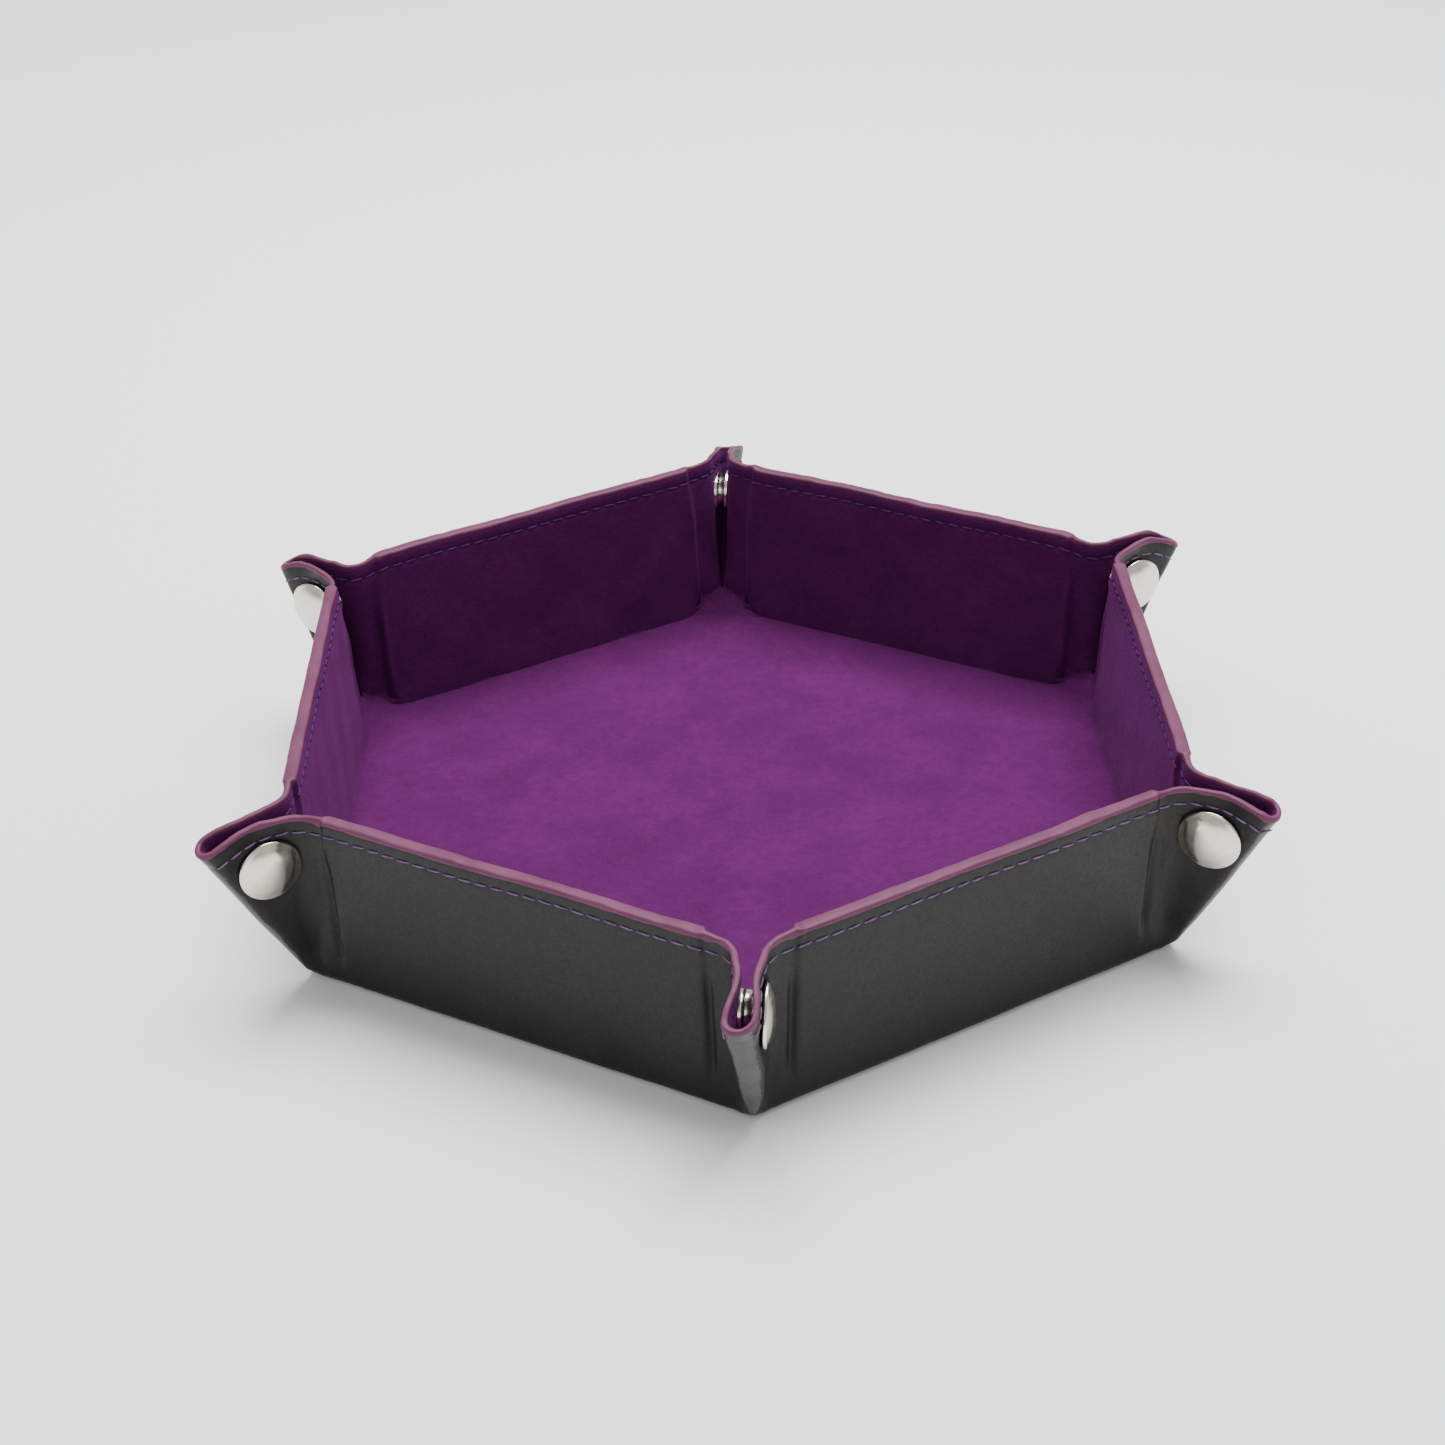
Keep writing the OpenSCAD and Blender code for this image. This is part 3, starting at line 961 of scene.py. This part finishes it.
def edge_rings(k, side, columns):
    """Sections of the painted edge, which lies over the rim and laps a little down both faces."""
    top = rim_height(k, side, columns)
    outer, _ = faces_at(k, side, columns, top - 0.02, True)
    inner, _ = faces_at(k, side, columns, top - 0.02, False)
    if columns[-1] == LAST:
        onto_corner_plane(outer[-1:], k, side)
        onto_corner_plane(inner[-1:], k, side)
    up = aim(k, side, 0.0, 0.0, 1.0)
    middle, span = (outer + inner) / 2, inner - outer
    width = np.linalg.norm(span, axis=1, keepdims=True)
    across = span / width
    v, *_ = section(columns, top)
    lump = 0.3 * bell((v - SINK_AT) / 1.2) * (columns < BEND_START)
    swell = 0.10 * waves(middle, 6, 41) + 0.05 * waves(middle, 2.5, 42)
    ring = []
    half = width[:, 0] / 2 + 0.13 + 0.25 * lump
    crown = 0.42 + 0.7 * lump + swell
    lap = 0.62 + 1.5 * swell + 0.8 * lump
    lap_in = 0.55 - 1.2 * swell + 0.5 * lump
    for angle in np.radians(np.linspace(180, 0, 11)):
        x = half * np.sign(math.cos(angle)) * abs(math.cos(angle)) ** 0.6
        z = (crown + 0.25) * math.sin(angle) ** 0.75 - 0.25 if 0 < angle < math.pi else 0 * half - 0.25
        ring.append(middle + across * np.reshape(x, (-1, 1)) + up * np.reshape(z, (-1, 1)))
    foot = [
        (half - 0.03, -lap_in), (half - 0.25, -lap_in - 0.04),
        (0.25 - half, -lap - 0.04), (0.03 - half, -lap),
    ]
    for x, z in foot:
        ring.append(middle + across * x[:, None] + up * z[:, None])
    rings = np.stack(ring, axis=1)
    if columns[-1] == LAST:
        onto_corner_plane(rings[-1], k, side)
    return rings


def painted_edges(k):
    left = edge_rings(k, -1, WALL_COLUMNS[::-1])
    right = edge_rings(k, 1, WALL_COLUMNS[1:])
    wall = tube_object(f"edge_wall_{k}", np.concatenate([left, right]), [EDGE])
    rides(wall, f"wall_{k}")
    for side in (-1, 1):
        rings = edge_rings(k, side, CREASE_COLUMNS)
        crease = tube_object(flap_piece("edge_crease", k, side), rings, [EDGE])
        bends_at_crease(crease, k, side)
        rings = edge_rings(k, side, GUSSET_COLUMNS)
        gusset = tube_object(flap_piece("edge_gusset", k, side), rings, [EDGE])
        flattens(gusset, k, side, 0.0)


# ---- stitching

STITCH_LENGTH = 3.3
STITCH_RADIUS = 0.20
STITCH_TILT = math.radians(4)
STITCH_RINGS = 9
STITCH_SIDES = 8


def stitch(middle, way, normal):
    """One stitch as rings of points: a strand that comes out of the skin and goes back in."""
    side = np.cross(normal, way)
    rings = []
    for share in np.linspace(-1, 1, STITCH_RINGS):
        centre = middle + way * (share * STITCH_LENGTH / 2)
        centre = centre + normal * (0.24 * (1 - share**4) - 0.11)
        radius = STITCH_RADIUS * (1 - 0.6 * abs(share) ** 3)
        angles = circle(STITCH_SIDES)[:, None]
        rings.append(centre + radius * (np.cos(angles) * side + np.sin(angles) * normal))
    return np.stack(rings)


def read_at(at, run, values):
    """The point of a line at that way along it."""
    return np.array([np.interp(at, run, values[:, i]) for i in range(3)])


def seam(k, side, leather):
    """The stitches on one face of half a wall and its flap, each with its column."""
    c = np.concatenate([
        np.linspace(0, 1, 60)[:-1],
        np.linspace(1, FLAP_START, 40)[:-1],
        np.linspace(FLAP_START, LAST, 160),
    ])
    u = rim_height(k, side, c) - SEAM_DEPTH
    line, _ = faces_at(k, side, c, u, leather)
    _, _, normal_v, normal_w, _, _ = section(c, u)
    sign = -1 if leather else 1
    normals = sign * np.stack([aim(k, side, a, b, 0.0) for a, b in zip(normal_v, normal_w)])
    steps = np.linalg.norm(np.diff(line, axis=0), axis=1)
    run = np.concatenate([[0], np.cumsum(steps)])
    made = []
    at = STITCH_PITCH / 2
    while at < run[-1] - 0.4 * STITCH_LENGTH:
        middle = read_at(at, run, line)
        normal = read_at(at, run, normals)
        normal /= np.linalg.norm(normal)
        way = read_at(at + 0.8, run, line) - read_at(at - 0.8, run, line)
        way -= normal * (way @ normal)
        way /= np.linalg.norm(way)
        across = np.cross(normal, way)
        tilt = STITCH_TILT * side * sign
        way = way * math.cos(tilt) + across * math.sin(tilt)
        made.append((float(np.interp(at, run, c)), stitch(middle, way, normal)))
        at += STITCH_PITCH
    return made


def thread_object(name, stitches):
    """Several stitches as one piece. Each is its rings and whether it is on the velvet."""
    points, faces, kinds, painted_light = [], [], [], []
    # How near each ring is to its stitch's end, where the thread is painted with shade as it dips into
    # its hole
    ends = np.repeat(abs(np.linspace(-1, 1, STITCH_RINGS)), STITCH_SIDES)
    for rings, on_velvet in stitches:
        first = len(points) * STITCH_RINGS * STITCH_SIDES
        faces += tube_faces(STITCH_RINGS, STITCH_SIDES, first)
        points.append(rings.reshape(-1, 3))
        kinds += [int(on_velvet)] * (len(faces) - len(kinds))
        painted_light.append(ends)
    return new_object(name, np.concatenate(points), faces, [THREAD, BOBBIN], kinds, 80,
                      np.concatenate(painted_light))


def threads(k):
    on_wall = []
    for side in (-1, 1):
        on_crease = []
        for leather in (True, False):
            on_flap = []
            for c, rings in seam(k, side, leather):
                if c < 1:
                    on_wall.append((rings, not leather))
                elif c < FLAP_START + FLAP_CUT:
                    on_crease.append((rings, not leather))
                else:
                    on_flap.append((rings, not leather))
            word, offset = ("thread", -HALF_FLAP - 0.1) if leather else ("bobbin", HALF_FLAP + 0.1)
            loose = thread_object(flap_piece(f"{word}_gusset", k, side), on_flap)
            flattens(loose, k, side, offset)
        crossing = thread_object(flap_piece("thread_crease", k, side), on_crease)
        bends_at_crease(crossing, k, side)
    rides(thread_object(f"thread_wall_{k}", on_wall), f"wall_{k}")


# ---- snaps


def lathe(name, k, side, profile):
    """A turned piece on a flap's snap. The profile is radius and height from the flap's
    mid-plane, positive on the velvet side, and starts and ends on the axis."""
    centre = snap_centre(k, side)
    axis = aim(k, side, FLAP_NORMAL[0], FLAP_NORMAL[1], 0.0)
    up = aim(k, side, 0.0, 0.0, 1.0)
    along = np.cross(axis, up)
    # It stays round and lies on its flap where the soft flap has settled.
    up = settled(centre + 4 * up) - settled(centre - 4 * up)
    along = settled(centre + 4 * along) - settled(centre - 4 * along)
    centre = settled(centre)
    up /= np.linalg.norm(up)
    axis = np.cross(up, along)
    axis /= np.linalg.norm(axis)
    across = np.cross(axis, up)
    angles = circle(64)[:, None]
    wheel = np.cos(angles) * across + np.sin(angles) * up
    rings = [centre + axis * height + max(radius, 1e-4) * wheel for radius, height in profile]
    piece = tube_object(name, np.stack(rings), [NICKEL], angle=50, soft=False)
    rides(piece, flap_body(k, side))
    return piece


def arc(centre, radius, start, end, count=7):
    """Points of a profile round a centre, angles in degrees from outwards to the velvet side."""
    return [
        (centre[0] + radius * math.cos(a), centre[1] + radius * math.sin(a))
        for a in np.radians(np.linspace(start, end, count))
    ]


def snaps(corner):
    following = corner % SIDES + 1
    cap_at, stud_at = ((corner, 1), (following, -1))
    if not CAP_ON_FIRST[corner - 1]:
        cap_at, stud_at = stud_at, cap_at
    rim, rise, dish = 0.5, 2.3, 6.0
    dome_r = (dish**2 + (rise - 2 * rim) ** 2) / (2 * (rise - 2 * rim))
    top = -HALF_FLAP - rise
    dome = [
        (dome_r * math.sin(a), top + dome_r * (1 - math.cos(a)))
        for a in np.linspace(0, math.asin((dish - 0.25) / dome_r), 18)
    ]
    cap = dome + arc((dish, -HALF_FLAP - rim), rim, -75, 90, 13) + [(0, -0.35)]
    socket = [(0, 1.05), (2.2, 1.05), (2.35, 1.2), (2.35, 2.5)]
    socket += arc((2.6, 2.55), 0.25, 180, 90) + arc((4.1, 2.5), 0.3, 90, 0)
    socket += [(4.42, 1.5), (4.55, 1.28), (4.8, 1.2)]
    socket += arc((5.1, 1.0), 0.2, 90, 0) + [(5.3, 0.5), (0, 0.5)]
    stud = [(0, 3.2), (1.2, 3.2)] + arc((1.55, 2.8), 0.4, 80, -60)
    stud += [(1.62, 2.2), (1.6, 1.7), (1.8, 1.42), (2.3, 1.3), (3.2, 1.28), (4.2, 1.3)]
    stud += arc((4.6, 1.0), 0.3, 90, 0) + [(4.9, 0.5), (0, 0.5)]
    post = [(0, -0.08), (4.2, -0.08), (4.2, 0.08), (1.0, 0.08), (1.0, 2.6), (0, 2.6)]
    turnings = [("cap", cap_at, cap), ("socket", cap_at, socket)]
    turnings += [("stud", stud_at, stud), ("post", stud_at, post)]
    for word, flap, profile in turnings:
        piece = lathe(f"nickel_{word}_{corner}", *flap, profile)
        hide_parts(f"snap_{word}_{corner}")


leather_base()
velvet_base()
for k in range(1, SIDES + 1):
    leather_fold(k)
    leather_corner(k)
    velvet_fold(k)
    velvet_corner(k)
    velvet_under(k)
    skins(k, True)
    skins(k, False)
    painted_edges(k)
    threads(k)
    snaps(k)


# ---- camera, floor and lights


CAMERA_AZIMUTH = -1.727
CAMERA_ELEVATION = 32.522
CAMERA_ROLL = -0.883
CAMERA_DISTANCE = 568.9
CAMERA_TARGET = (4.184, 6.231, 0)
FOCAL_LENGTH = 63.68
LENS_SHIFT = (-0.0215, 0.0613)


def camera():
    azimuth = math.radians(CAMERA_AZIMUTH)
    elevation = math.radians(CAMERA_ELEVATION)
    roll = math.radians(CAMERA_ROLL)
    back = np.array([math.sin(azimuth) * math.cos(elevation),
                     -math.cos(azimuth) * math.cos(elevation), math.sin(elevation)])
    right = np.array([math.cos(azimuth), math.sin(azimuth), 0])
    up = np.cross(back, right)
    rolled = right * math.cos(roll) + up * math.sin(roll)
    up = up * math.cos(roll) - right * math.sin(roll)
    lens = bpy.data.cameras.new("camera")
    lens.sensor_width = 36
    lens.lens = FOCAL_LENGTH
    lens.shift_x, lens.shift_y = LENS_SHIFT
    obj = add_object("camera", lens)
    facing = Matrix([list(rolled), list(up), list(back)]).transposed().to_4x4()
    spot = back * CAMERA_DISTANCE + np.array(CAMERA_TARGET)
    obj.matrix_world = Matrix.Translation(Vector(metres(spot))) @ facing
    bpy.context.scene.camera = obj


def floor():
    made = bmesh.new()
    bmesh.ops.create_grid(made, x_segments=8, y_segments=8, size=6)
    mesh = bpy.data.meshes.new("studio_floor")
    made.to_mesh(mesh)
    made.free()
    mesh.materials.append(floor_material())
    obj = add_object("studio_floor", mesh)


def area_light(name, spot, target, width, height, watts):
    data = bpy.data.lights.new(name, "AREA")
    data.shape = "RECTANGLE"
    data.size, data.size_y, data.energy = width, height, watts
    obj = add_object(name, data)
    obj.location = spot
    obj.rotation_euler = (Vector(target) - Vector(spot)).to_track_quat("-Z", "Y").to_euler()


def studio():
    world = bpy.data.worlds.new("studio")
    world.use_nodes = True
    sky = world.node_tree.nodes["Background"].inputs
    sky["Color"].default_value = (1, 1, 1, 1)
    sky["Strength"].default_value = 0.65
    bpy.context.scene.world = world
    area_light("softbox_top", (0.1, 0.3, 1.0), (0, 0, 0), 0.9, 0.7, 26)
    area_light("softbox_front", (-0.5, -1.1, 0.7), (0, 0, 0.02), 0.8, 0.6, 2)


camera()
floor()
studio()
